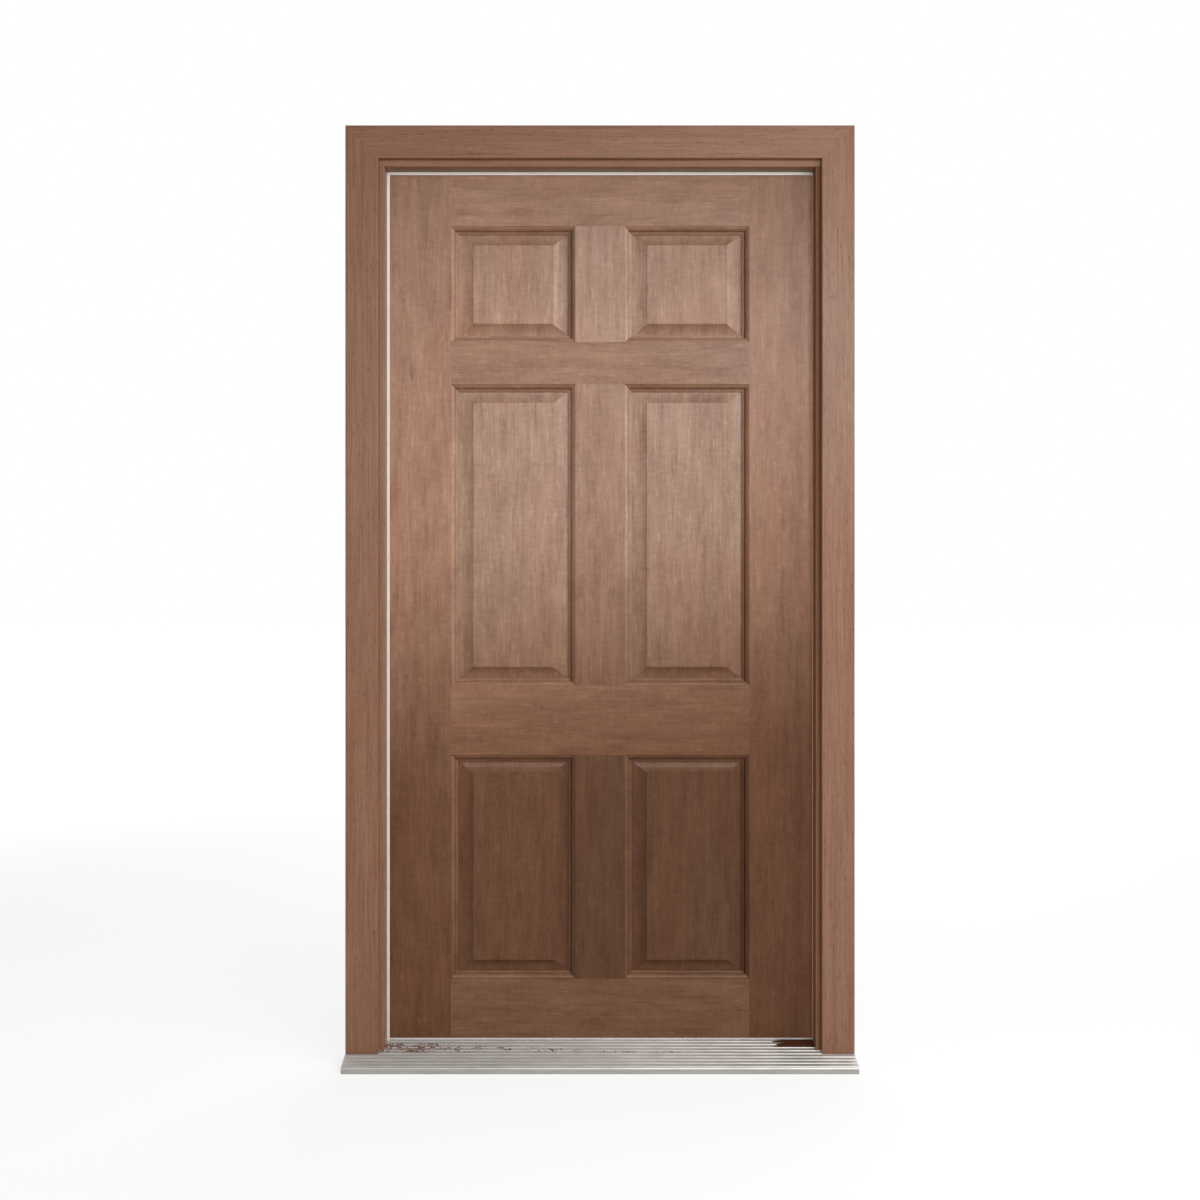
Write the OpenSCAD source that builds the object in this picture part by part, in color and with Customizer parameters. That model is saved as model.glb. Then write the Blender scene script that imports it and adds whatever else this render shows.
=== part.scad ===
// Panelled front door in its frame: a six-panel hardwood leaf on butt hinges, a rebated frame
// with a mitred casing, weather seals and a ribbed aluminium sill. Millimetres.
// X runs to the right and Y into the house, as seen from outside, and Z is up.
// The origin is under the sill, on the door's centre line, in the plane of the wall's outer face.

/* [Leaf] */
// Width of the leaf
leaf_w = 1020; // [920:10:1120]
// Height of the leaf
leaf_h = 2040; // [1940:10:2140]
// Thickness of the leaf
leaf_t = 44; // [42:1:54]
// Width of each stile
stile_w = 160; // [130:1:180]
// Width of the muntins between the panels
muntin_w = 116; // [90:1:150]
// Height of the top rail
top_rail_h = 137; // [110:1:180]
// Height of the frieze rail under the top panels
frieze_rail_h = 99; // [92:1:140]
// Height of the lock rail
lock_rail_h = 163; // [120:1:220]
// Height of the bottom rail
bottom_rail_h = 138; // [110:1:240]
// Height of the top panels' openings
top_panel_h = 271; // [200:1:320]
// Height of the bottom panels' openings
bottom_panel_h = 525; // [420:1:600]

/* [Moulding and panels] */
// Width of the moulding worked round each opening
sticking_w = 16.5; // [14:0.5:20]
// Drop of the moulding's first edge below the face
quirk_d = 3; // [1:0.25:3.5]
// Width of the flat beside that first edge
quirk_w = 0.5; // [0.25:0.25:2]
// Radius of the moulding's quarter round
ovolo_r = 10; // [8:0.5:12]
// Depth of the groove that holds the panels
groove_d = 12; // [9:0.5:13]
// Thickness of the panels' tongues
tongue_t = 10; // [8:0.5:12]
// Room left for a panel to swell in its groove
panel_play = 1.5; // [1:0.25:3]
// Width of the hollowed bevels at a raised field's sides
side_bevel_w = 36; // [24:1:45]
// Width of the hollowed bevels at a raised field's ends
end_bevel_w = 27; // [20:1:45]
// Step at the edge of the raised field
field_step = 1.5; // [1:0.25:4]
// Drop of the raised field below the leaf's face
field_drop = 4; // [2:0.5:6]
// Radius of the dowels that join the leaf
dowel_r = 6; // [4:0.5:8]
// Length of the dowels
dowel_l = 80; // [60:2:84]
// Spacing of neighbouring dowels
dowel_pitch = 50; // [40:1:70]

/* [Frame] */
// Thickness of the jambs and head at the stop
jamb_t = 57; // [46:1:70]
// Depth of the rebate that the leaf closes into
rebate_d = 14; // [12:0.5:18]
// Depth of the stop, from the wall's face to the rebate's shoulder
stop_w = 45; // [38:1:70]
// Gap between the leaf's edges and the rebate
leaf_gap = 3; // [2.5:0.25:4]
// Room for the seal between the shoulder and the leaf
seal_gap = 4; // [3:0.25:6]
// Depth that the head is let into each jamb
housing_d = 10; // [6:1:16]
// Width of the casing
casing_w = 76; // [64:1:100]
// Thickness of the casing
casing_t = 16; // [12:1:25]
// Strip of the jambs' front edges left showing beside the casing
side_reveal = 12; // [8:0.5:18]
// Strip of the head's front edge left showing under the casing
head_reveal = 15.5; // [8:0.5:18]
// Radius of the eased front edges of the jambs and head
arris_r = 1.5; // [0.5:0.25:3]
// Radius of the casing's front edges
casing_r = 3; // [1:0.5:5]
// Radius of the wall-fixing holes through the jambs
fixing_r = 5.25; // [3:0.25:7]
// Radius of the recess for the fixing's head
fixing_head_r = 9; // [8:0.5:12]
// Depth of the recess for the fixing's head
fixing_head_d = 8; // [4:1:14]
// Distance of the end fixings from the leaf's top and bottom
fixing_inset = 100; // [80:5:120]

/* [Sill] */
// Reach of the sill's nose in front of the casing
sill_reach = 61; // [40:1:90]
// Reach of the sill past the back of the frame
sill_tail = 7; // [0:1:20]
// Height of the nose
nose_h = 14.5; // [12:0.5:22]
// Radius of the nose's top edge
nose_r = 3; // [1:0.5:5]
// Height of the flat under the leaf
sill_h = 41.5; // [34:0.5:50]
// Gap between the flat and the leaf's bottom edge
sill_gap = 5.5; // [5:0.5:9]
// Thickness of the extrusion's walls
sill_wall = 3; // [2:0.25:4]
// Distance of the first flute from the nose
flute_inset = 5.75; // [5.5:0.25:12]
// Spacing of the flutes in the deck
flute_pitch = 13.75; // [10:0.25:20]
// Width of each flute
flute_w = 5.5; // [3:0.25:7]
// Depth of each flute
flute_d = 2; // [1:0.25:2.5]

/* [Seals] */
// Lip of the lock-side seal that shows past the stop
lock_lip = 6; // [2:0.5:8]
// Lip of the head seal that shows past the stop
head_lip = 6.5; // [2:0.5:8]
// Lip of the hinge-side seal that shows past the stop
hinge_lip = 1.5; // [1:0.5:8]
// Width of the kerf that grips a seal
kerf_w = 2.5; // [2:0.25:3.5]
// Depth of the kerf
kerf_d = 10; // [6:0.5:14]
// Distance of the kerf from the stop's edge
kerf_inset = 6; // [4:0.5:7]

/* [Hinges] */
// Height of each hinge
hinge_h = 100; // [90:5:120]
// Thickness of the hinge plates
plate_t = 2.5; // [2:0.25:3.5]
// Depth of the hinge plates across the leaf's edge
plate_w = 32; // [28:1:38]
// Radius of the knuckles
knuckle_r = 6.5; // [5.5:0.25:8]
// Radius of the hinge pins
pin_r = 3.2; // [2.5:0.1:4]
// Radius of a hinge pin's head
pin_head_r = 5.5; // [4.5:0.25:7]
// Distance from the leaf's top to the middle of the top hinge
top_hinge_inset = 200; // [180:5:260]
// Distance from the leaf's bottom to the middle of the bottom hinge
bottom_hinge_inset = 250; // [200:5:320]

/* [Fasteners] */
// Radius of a wood screw's shank
screw_r = 2.4; // [2:0.1:3]
// Radius of a wood screw's head
screw_head_r = 4.5; // [4:0.1:5.5]
// Length of the hinge screws
hinge_screw_l = 32; // [25:1:38]
// Reach of the corner screws into the head
corner_screw_reach = 45; // [30:1:60]
// Reach of the sill screws into the jambs
sill_screw_reach = 45; // [30:1:60]
// Radius of the pins that hold the casing
nail_r = 1.25; // [1:0.05:1.75]
// Reach of the casing pins into the frame
nail_reach = 34; // [25:1:40]

/* [Hidden] */
$fn = 48;

// Colours of the timber, the metal and the seals
leaf_colour = "#9c7762";
frame_colour = "#8b6a57";
metal_colour = "#a9a49f";
steel_colour = "#c4c2bd";
seal_colour = "#dcd8d2";

// Clearances
joint_fit = 0.15;
soft_fit = 0.3;
bore_fit = 0.1;
pin_fit = 0.08;
knuckle_fit = 0.4;
knuckle_stand_off = 0.5;
plate_space = 0.5;
bite = 1;
cut = 1;

// Places across the door, along X
leaf_half = leaf_w / 2;
rail_l = leaf_w - 2 * stile_w;
open_w = (rail_l - muntin_w) / 2;
open_left_x = [-rail_l / 2, muntin_w / 2];
rebate_half = leaf_half + leaf_gap;
clear_half = rebate_half - rebate_d;
jamb_half = clear_half + jamb_t;
casing_in = clear_half + side_reveal;
casing_out = casing_in + casing_w;
head_half = rebate_half + housing_d;

// Places through the door, along Y
leaf_y = stop_w + seal_gap;
leaf_mid_y = leaf_y + leaf_t / 2;
frame_d = leaf_y + leaf_t;
nose_y = -casing_t - sill_reach;
deck_end_y = stop_w - cut;
sill_back_y = frame_d + sill_tail;
fixing_y = (stop_w + frame_d) / 2;

// Places up the door, along Z
leaf_z = sill_h + sill_gap;
leaf_top = leaf_z + leaf_h;
bottom_open_z = leaf_z + bottom_rail_h;
lock_rail_z = bottom_open_z + bottom_panel_h;
middle_open_z = lock_rail_z + lock_rail_h;
top_rail_z = leaf_top - top_rail_h;
top_open_z = top_rail_z - top_panel_h;
frieze_rail_z = top_open_z - frieze_rail_h;
middle_panel_h = frieze_rail_z - middle_open_z;
head_z = leaf_top + leaf_gap - rebate_d;
head_top = head_z + jamb_t;
casing_top = head_z + head_reveal + casing_w;

// The rails as [lower edge, height], and the rows of panels in the same way
bottom_rail_at = [leaf_z, bottom_rail_h];
lock_rail_at = [lock_rail_z, lock_rail_h];
frieze_rail_at = [frieze_rail_z, frieze_rail_h];
top_rail_at = [top_rail_z, top_rail_h];
rails = [bottom_rail_at, lock_rail_at, frieze_rail_at, top_rail_at];
bottom_row = [bottom_open_z, bottom_panel_h];
middle_row = [middle_open_z, middle_panel_h];
top_row = [top_open_z, top_panel_h];
rows = [bottom_row, middle_row, top_row];

// Moulding and panel sections
ovolo_end = quirk_d + ovolo_r;
groove_half = tongue_t / 2 + joint_fit;
tongue_l = groove_d - panel_play;
field_half = leaf_t / 2 - field_drop;
panel_margin = sticking_w - tongue_l;
cove_lip = 0.25;
cove_rise = field_half - field_step - tongue_t / 2 - cove_lip;
cove_ease = 1.15;
dowel_edge = 20;
dowel_end_room = 1;

// Sill section
deck_slope = (sill_h - nose_h) / (deck_end_y - nose_y);
deck_angle = atan(deck_slope);
nose_c = [nose_y + nose_r, nose_h + nose_r * deck_slope - nose_r / cos(deck_angle)];
flute_r = (flute_w * flute_w / 4 + flute_d * flute_d) / (2 * flute_d);
first_flute_y = nose_y + flute_inset;
last_flute_y = deck_end_y - flute_w / 2;
sill_webs = 4;
slot_y = leaf_y + 8;
slot_w = 2.6;
slot_foot_w = 6;
slot_foot_h = 2;
slot_neck_h = 1.8;
slot_d = slot_neck_h + slot_foot_h;

// Hinge places
axis_x = leaf_half + leaf_gap / 2;
axis_y = frame_d + knuckle_r + knuckle_stand_off;
plate_in_y = frame_d - plate_w;
top_hinge_z = leaf_top - top_hinge_inset;
bottom_hinge_z = leaf_z + bottom_hinge_inset;
middle_hinge_z = (top_hinge_z + bottom_hinge_z) / 2;
hinges_z = [bottom_hinge_z, middle_hinge_z, top_hinge_z];
knuckles = 5;
knuckle_step = hinge_h / knuckles;
pin_head_h = 3;
plate_face = plate_space / 2;
screw_head_h = 2;
screw_tip_l = 6;
screw_slot_w = 1;
screw_slot_d = 0.9;
screw_sink = 0.1;
hinge_screws = [for (i = [0:3]) [i % 2 == 0 ? plate_w * 0.3 : plate_w * 0.7, (i - 1.5) * hinge_h / 4]];

// Frame fixings, screws and pins
fixing_pitch = (leaf_h - 2 * fixing_inset) / 3;
fixings_z = [for (i = [0:3]) leaf_z + fixing_inset + i * fixing_pitch];
corner_screws_y = [stop_w * 0.4, fixing_y];
corner_screw_z = head_top - (jamb_t - rebate_d) / 2;
sill_screws_y = [stop_w * 0.5, fixing_y];
sill_screw_x = clear_half + (rebate_d + jamb_t) / 2;
nail_x = (casing_in + jamb_half) / 2;
nail_head_z = (head_z + head_reveal + head_top) / 2;
nail_head_r = nail_r + 0.5;
nail_head_h = 1;
nail_first_z = leaf_z + 120;
nails_up = 6;
nails_across = 4;

function deck_z(y) = nose_h + (y - nose_y) * deck_slope;
function count_of(width) = floor((width - 2 * dowel_edge) / dowel_pitch) + 1;
function spread(i, n, pitch) = (i - (n - 1) / 2) * pitch;

// General shapes
// Extrudes a [y, z] section along X
module along_x(length) {
    rotate([90, 0, 90]) linear_extrude(length) children();
}

// Extrudes an [x, z] outline along Y
module along_y(length) {
    translate([0, length, 0]) rotate([90, 0, 0]) linear_extrude(length) children();
}

// A rod of the given radius along X, from the point it is moved to
module rod_x(r, length) {
    rotate([0, 90, 0]) cylinder(r = r, h = length);
}

// A countersunk wood screw, its head's face at the origin, pointing along +Z
module screw(length) {
    shank_l = length - screw_head_h - screw_tip_l;
    difference() {
        union() {
            cylinder(r1 = screw_head_r, r2 = screw_r, h = screw_head_h);
            translate([0, 0, screw_head_h]) cylinder(r = screw_r, h = shank_l);
            translate([0, 0, length - screw_tip_l])
                cylinder(r1 = screw_r, r2 = screw_r / 4, h = screw_tip_l);
        }
        for (turn = [0, 90]) rotate(turn)
            translate([-screw_head_r * 0.6, -screw_slot_w / 2, -cut])
                cube([screw_head_r * 1.2, screw_slot_w, cut + screw_slot_d]);
    }
}

// The hole that a screw leaves: a countersink and a straight bore
module screw_hole(length) {
    translate([0, 0, -cut]) cylinder(r = screw_head_r + bore_fit, h = cut);
    cylinder(r1 = screw_head_r + bore_fit, r2 = screw_r + bore_fit, h = screw_head_h);
    cylinder(r = screw_r + bore_fit, h = length + cut);
}

// Leaf: boards with the moulding worked on their edges
// Section of the moulding, [depth from the face, reach into the opening]
module sticking_section() {
    difference() {
        union() {
            translate([ovolo_end, -bite]) square([leaf_t - 2 * ovolo_end, bite + sticking_w]);
            translate([quirk_d, -bite]) square([leaf_t - 2 * quirk_d, bite + quirk_w]);
            for (depth = [ovolo_end, leaf_t - ovolo_end])
                translate([depth, quirk_w]) circle(r = ovolo_r);
        }
        translate([leaf_t / 2 - groove_half, sticking_w - groove_d])
            square([2 * groove_half, groove_d + cut]);
    }
}

// One mitred side of an opening's moulding, along X with the opening above it
module sticking(length) {
    intersection() {
        along_x(length) sticking_section();
        along_y(leaf_t) polygon([
            [0, -bite], [length, -bite], [length, 0],
            [length - sticking_w, sticking_w], [sticking_w, sticking_w], [0, 0]
        ]);
    }
}

module sticking_below(x, z) {
    translate([x, leaf_y, z]) sticking(open_w);
}

module sticking_above(x, z) {
    translate([x, leaf_y, z]) mirror([0, 0, 1]) sticking(open_w);
}

// Moulding on the left and right sides of an opening in a row of panels
module sticking_left(x, row) {
    translate([x, leaf_y, row[0]]) mirror([1, 0, 0]) rotate([0, -90, 0]) sticking(row[1]);
}

module sticking_right(x, row) {
    translate([x, leaf_y, row[0]]) rotate([0, -90, 0]) sticking(row[1]);
}

// All the leaf's dowels, or their bores when given a clearance
module dowels(clear_r, clear_l) {
    for (rail = rails, side = [-1, 1], i = [0:count_of(rail[1]) - 1])
        translate([
            side * rail_l / 2 - dowel_l / 2 - clear_l, leaf_mid_y,
            rail[0] + rail[1] / 2 + spread(i, count_of(rail[1]), dowel_pitch)
        ]) rod_x(dowel_r + clear_r, dowel_l + 2 * clear_l);
    for (row = rows, end = [row[0], row[0] + row[1]], i = [0:count_of(muntin_w) - 1])
        translate([
            spread(i, count_of(muntin_w), dowel_pitch), leaf_mid_y, end - dowel_l / 2 - clear_l
        ]) cylinder(r = dowel_r + clear_r, h = dowel_l + 2 * clear_l);
}

module dowel_bores() {
    dowels(bore_fit, dowel_end_room);
}

module lock_stile() {
    color(leaf_colour) difference() {
        union() {
            translate([-leaf_half, leaf_y, leaf_z]) cube([stile_w, leaf_t, leaf_h]);
            for (row = rows) sticking_left(-rail_l / 2, row);
        }
        dowel_bores();
    }
}

module hinge_stile() {
    color(leaf_colour) difference() {
        union() {
            translate([rail_l / 2, leaf_y, leaf_z]) cube([stile_w, leaf_t, leaf_h]);
            for (row = rows) sticking_right(rail_l / 2, row);
        }
        dowel_bores();
        for (z = hinges_z) {
            translate([axis_x - plate_face - plate_t, plate_in_y - joint_fit, z - hinge_h / 2 - joint_fit])
                cube([stile_w, plate_w + joint_fit + cut, hinge_h + 2 * joint_fit]);
            leaf_screw_places(z) screw_hole(hinge_screw_l);
        }
    }
}

// A rail, with moulding along the edges that face panels
module rail(at, panels_below, panels_above) {
    color(leaf_colour) difference() {
        union() {
            translate([-rail_l / 2, leaf_y, at[0]]) cube([rail_l, leaf_t, at[1]]);
            for (x = open_left_x) {
                if (panels_above) sticking_below(x, at[0] + at[1]);
                if (panels_below) sticking_above(x, at[0]);
            }
        }
        dowel_bores();
    }
}

module muntin(row) {
    color(leaf_colour) difference() {
        union() {
            translate([-muntin_w / 2, leaf_y, row[0]]) cube([muntin_w, leaf_t, row[1]]);
            sticking_right(-muntin_w / 2, row);
            sticking_left(muntin_w / 2, row);
        }
        dowel_bores();
    }
}

// What a hollowed bevel takes off one edge of a panel's section. The hollow is an arc through the
// bevel's two ends that runs out almost level, a thin lip above the tongue
module cove(bevel_w) {
    chord = norm([bevel_w, cove_rise]);
    cove_r = cove_ease * chord * chord / (2 * cove_rise);
    lift = sqrt(cove_r * cove_r - chord * chord / 4) / chord;
    intersection() {
        translate([tongue_l - bite, tongue_t / 2]) square([bite + bevel_w, field_half]);
        translate([
            tongue_l + bevel_w / 2 - lift * cove_rise,
            (tongue_t + cove_rise) / 2 + cove_lip + lift * bevel_w
        ]) circle(r = cove_r);
    }
}

// Section right across a panel, [distance along it, height above its middle]
module panel_section(size, bevel_w) {
    difference() {
        union() {
            translate([0, -tongue_t / 2]) square([size, tongue_t]);
            translate([tongue_l, -field_half]) square([size - 2 * tongue_l, 2 * field_half]);
        }
        for (edge = [0, 1], face = [0, 1])
            translate([size / 2, 0]) mirror([edge, 0]) mirror([0, face])
                translate([-size / 2, 0]) cove(bevel_w);
    }
}

// A raised panel: its bevels meet in mitres where the two sections cross
module panel(x, row) {
    width = open_w - 2 * panel_margin;
    height = row[1] - 2 * panel_margin;
    color(leaf_colour) translate([x + panel_margin, leaf_mid_y, row[0] + panel_margin])
        intersection() {
            linear_extrude(height) panel_section(width, side_bevel_w);
            along_x(width) mirror([1, -1]) panel_section(height, end_bevel_w);
        }
}

module leaf_dowels() {
    color(leaf_colour) dowels(0, 0);
}

// Frame
// Section of the jamb on the right, [x, y]
module jamb_section() {
    polygon([
        [clear_half + arris_r, 0], [jamb_half, 0], [jamb_half, frame_d],
        [rebate_half, frame_d], [rebate_half, stop_w], [clear_half, stop_w], [clear_half, arris_r]
    ]);
    translate([clear_half + arris_r, arris_r]) circle(r = arris_r);
}

// Section of the head, [y, z]
module head_section() {
    polygon([
        [arris_r, head_z], [stop_w, head_z], [stop_w, head_z + rebate_d], [frame_d, head_z + rebate_d],
        [frame_d, head_top], [0, head_top], [0, head_z + arris_r]
    ]);
    translate([arris_r, head_z + arris_r]) circle(r = arris_r);
}

module head_block() {
    translate([-head_half, 0, 0]) along_x(2 * head_half) head_section();
}

// The kerf for the seal, in a jamb on the right
module jamb_kerf() {
    translate([clear_half + kerf_inset, stop_w - kerf_d, 0]) cube([kerf_w, kerf_d + cut, head_z + rebate_d]);
}

// Holes for the wall fixings, in a jamb on the right
module fixing_holes() {
    for (z = fixings_z) translate([0, fixing_y, z]) {
        translate([rebate_half - cut, 0, 0]) rod_x(fixing_r, jamb_t);
        translate([rebate_half - cut, 0, 0]) rod_x(fixing_head_r, fixing_head_d + cut);
    }
}

// The jamb on the right, without its hinges
module plain_jamb() {
    difference() {
        linear_extrude(head_top) jamb_section();
        sill_block();
        head_block();
        jamb_kerf();
        fixing_holes();
        corner_screw_places() screw_hole(corner_screw_l());
        sill_screw_places() screw_hole(jamb_t * 3);
        nail_places_up() nail_hole();
    }
}

module lock_jamb() {
    color(frame_colour) mirror([1, 0, 0]) plain_jamb();
}

module hinge_jamb() {
    color(frame_colour) difference() {
        plain_jamb();
        for (z = hinges_z) {
            translate([rebate_half - cut, plate_in_y - joint_fit, z - hinge_h / 2 - joint_fit])
                cube([axis_x + plate_face + plate_t - rebate_half + cut,
                      plate_w + joint_fit + cut, hinge_h + 2 * joint_fit]);
            frame_screw_places(z) screw_hole(hinge_screw_l);
        }
    }
}

module head_jamb() {
    color(frame_colour) difference() {
        head_block();
        translate([-head_half - cut, stop_w - kerf_d, head_z + kerf_inset])
            cube([2 * (head_half + cut), kerf_d + cut, kerf_w]);
        for (side = [0, 1]) mirror([side, 0, 0])
            corner_screw_places() screw_hole(corner_screw_l());
        nail_places_across() nail_hole();
    }
}

// Section of the casing, from its inner edge outwards, with its back on the line y = 0
module casing_section() {
    translate([0, casing_r - casing_t]) square([casing_w, casing_t - casing_r]);
    translate([casing_r, -casing_t]) square([casing_w - 2 * casing_r, casing_t]);
    for (x = [casing_r, casing_w - casing_r])
        translate([x, casing_r - casing_t]) circle(r = casing_r);
}

module side_casing() {
    difference() {
        intersection() {
            translate([casing_in, 0, 0]) linear_extrude(casing_top) casing_section();
            translate([0, -casing_t - cut, 0]) along_y(casing_t + 2 * cut) polygon([
                [casing_in, 0], [casing_out, 0], [casing_out, casing_top], [casing_in, casing_top - casing_w]
            ]);
        }
        sill_block();
        nail_places_up() nail_hole();
    }
}

module right_casing() {
    color(frame_colour) side_casing();
}

module left_casing() {
    color(frame_colour) mirror([1, 0, 0]) side_casing();
}

module head_casing() {
    color(frame_colour) difference() {
        intersection() {
            translate([-casing_out, 0, casing_top - casing_w])
                along_x(2 * casing_out) mirror([1, -1]) casing_section();
            translate([0, -casing_t - cut, 0]) along_y(casing_t + 2 * cut) polygon([
                [-casing_in, casing_top - casing_w], [casing_in, casing_top - casing_w],
                [casing_out, casing_top], [-casing_out, casing_top]
            ]);
        }
        nail_places_across() nail_hole();
    }
}

// Sill
// Section of the sill with a plain deck, [y, z]
module sill_section() {
    polygon([
        [nose_y, 0], [sill_back_y, 0], [sill_back_y, sill_h], [deck_end_y, sill_h],
        [nose_c[0] - nose_r * sin(deck_angle), nose_c[1] + nose_r * cos(deck_angle)],
        [nose_y, nose_c[1]]
    ]);
    translate(nose_c) circle(r = nose_r);
}

module sill_block() {
    translate([-casing_out, 0, 0]) along_x(2 * casing_out) sill_section();
}

// The hollows of the extrusion, one between each pair of webs
module sill_chambers() {
    roof = sill_wall + flute_d;
    first_y = nose_y + 2 * sill_wall;
    step = (sill_back_y - sill_wall - first_y) / sill_webs;
    for (i = [0:sill_webs - 1]) {
        y0 = first_y + i * step;
        y1 = y0 + step - sill_wall;
        top = sill_h - slot_d - sill_wall;
        polygon([
            [y0, sill_wall], [y1, sill_wall],
            [y1, min(deck_z(y1) - roof, top)], [y0, min(deck_z(y0) - roof, top)]
        ]);
    }
}

// The slot that holds the threshold seal, with a clearance all round
module seal_slot(clear) {
    translate([slot_y - slot_w / 2 - clear, sill_h - slot_neck_h - clear])
        square([slot_w + 2 * clear, slot_neck_h + clear + cut]);
    translate([slot_y - slot_foot_w / 2 - clear, sill_h - slot_d - clear])
        square([slot_foot_w + 2 * clear, slot_foot_h + 2 * clear]);
}

module sill() {
    color(metal_colour) difference() {
        translate([-casing_out, 0, 0]) along_x(2 * casing_out) difference() {
            sill_section();
            for (y = [first_flute_y:flute_pitch:last_flute_y])
                translate([y, deck_z(y)] + (flute_r - flute_d) * [-sin(deck_angle), cos(deck_angle)])
                    circle(r = flute_r);
            sill_chambers();
            seal_slot(joint_fit);
        }
        for (side = [0, 1]) mirror([side, 0, 0]) sill_screw_places() screw_hole(jamb_t * 3);
    }
}

// Seals
// Section of a frame seal on the right: its lip, its flat body and the leg in the kerf
module seal_section(lip) {
    thick = seal_gap - soft_fit;
    translate([clear_half - lip + thick / 2, stop_w])
        square([lip - thick / 2 + rebate_d - leaf_gap, thick]);
    translate([clear_half - lip + thick / 2, stop_w + thick / 2]) circle(r = thick / 2);
    translate([clear_half + kerf_inset + joint_fit, stop_w - kerf_d + joint_fit])
        square([kerf_w - 2 * joint_fit, kerf_d]);
}

// A side seal on the right, standing on the sill and reaching up to the head seal
module side_seal(lip) {
    translate([0, 0, sill_h]) linear_extrude(head_z - head_lip - sill_h) seal_section(lip);
}

module hinge_side_seal() {
    color(seal_colour) side_seal(hinge_lip);
}

module lock_side_seal() {
    color(seal_colour) mirror([1, 0, 0]) side_seal(lock_lip);
}

module head_seal() {
    reach = rebate_half - joint_fit;
    color(seal_colour) translate([-reach, 0, head_z - clear_half]) along_x(2 * reach)
        mirror([1, -1]) seal_section(head_lip);
}

module threshold_seal() {
    reach = rebate_half - joint_fit;
    bulb_r = (sill_gap - soft_fit) / 2;
    color(seal_colour) translate([-reach, 0, 0]) along_x(2 * reach) {
        translate([slot_y - bulb_r, sill_h]) square([2 * bulb_r, bulb_r]);
        translate([slot_y, sill_h + bulb_r]) circle(r = bulb_r);
        seal_slot(0);
    }
}

// Hinges
// Places a screw on each hole of a hinge's frame plate, pointing into the jamb
module frame_screw_places(z) {
    for (s = hinge_screws)
        translate([axis_x + plate_face + screw_sink, plate_in_y + s[0], z + s[1]])
            rotate([0, 90, 0]) children();
}

// Places a screw on each hole of a hinge's leaf plate, pointing into the stile
module leaf_screw_places(z) {
    for (s = hinge_screws)
        translate([axis_x - plate_face - screw_sink, plate_in_y + s[0], z + s[1]])
            rotate([0, -90, 0]) children();
}

// The knuckles of one plate: every other one, with the tabs that join them to the plate
module knuckle_row(first, side) {
    for (i = [first:2:knuckles - 1])
        translate([0, 0, -hinge_h / 2 + i * knuckle_step + knuckle_fit / 2]) {
            cylinder(r = knuckle_r, h = knuckle_step - knuckle_fit);
            translate([side > 0 ? plate_face : -plate_face - plate_t, frame_d - axis_y - bite, 0])
                cube([plate_t, axis_y - frame_d + bite, knuckle_step - knuckle_fit]);
        }
}

module hinge_bore() {
    translate([0, 0, -hinge_h]) cylinder(r = pin_r + pin_fit, h = 2 * hinge_h);
}

module plate_blank(side) {
    translate([side > 0 ? plate_face : -plate_face - plate_t, plate_in_y - axis_y, -hinge_h / 2])
        cube([plate_t, plate_w, hinge_h]);
}

module hinge_frame_plate(z) {
    color(steel_colour) difference() {
        translate([axis_x, axis_y, z]) difference() {
            union() {
                plate_blank(1);
                knuckle_row(0, 1);
            }
            hinge_bore();
        }
        frame_screw_places(z) screw_hole(hinge_screw_l);
    }
}

module hinge_leaf_plate(z) {
    color(steel_colour) difference() {
        translate([axis_x, axis_y, z]) difference() {
            union() {
                plate_blank(-1);
                knuckle_row(1, -1);
            }
            hinge_bore();
        }
        leaf_screw_places(z) screw_hole(hinge_screw_l);
    }
}

module hinge_pin(z) {
    foot = z - hinge_h / 2 + knuckle_fit;
    top = z + hinge_h / 2 - knuckle_fit / 2;
    color(steel_colour) translate([axis_x, axis_y, 0]) {
        translate([0, 0, foot]) cylinder(r = pin_r, h = top - foot + cut);
        translate([0, 0, top]) cylinder(r = pin_head_r, h = pin_head_h / 2);
        translate([0, 0, top + pin_head_h / 2]) cylinder(r1 = pin_head_r, r2 = pin_r, h = pin_head_h / 2);
    }
}

module leaf_hinge_screws() {
    color(steel_colour) for (z = hinges_z) leaf_screw_places(z) screw(hinge_screw_l);
}

module frame_hinge_screws() {
    color(steel_colour) for (z = hinges_z) frame_screw_places(z) screw(hinge_screw_l);
}

// Frame screws and casing pins
function corner_screw_l() = jamb_half - head_half + corner_screw_reach;

// Corner screws on the right, from the jamb's outer face into the end of the head
module corner_screw_places() {
    for (y = corner_screws_y)
        translate([jamb_half - screw_sink, y, corner_screw_z]) rotate([0, -90, 0]) children();
}

module corner_screws() {
    color(steel_colour) for (side = [0, 1]) mirror([side, 0, 0])
        corner_screw_places() screw(corner_screw_l());
}

// Sill screws on the right, from under the sill into the jamb's foot
module sill_screw_places() {
    for (y = sill_screws_y) translate([sill_screw_x, y, screw_sink]) children();
}

module sill_screws() {
    color(steel_colour) for (side = [0, 1]) mirror([side, 0, 0])
        sill_screw_places() screw(sill_h + sill_screw_reach);
}

module nail() {
    length = casing_t + nail_reach;
    cylinder(r = nail_head_r, h = nail_head_h);
    cylinder(r = nail_r, h = length);
}

module nail_hole() {
    translate([0, 0, -cut]) cylinder(r = nail_head_r + bore_fit, h = nail_head_h + cut);
    cylinder(r = nail_r + bore_fit, h = casing_t + nail_reach + cut);
}

// Places for pins up the right casing, pointing into the jamb
module nail_places_up() {
    step = (head_z - 2 * nail_first_z) / (nails_up - 1);
    for (i = [0:nails_up - 1])
        translate([nail_x, -casing_t, nail_first_z + i * step]) rotate([-90, 0, 0]) children();
}

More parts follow.
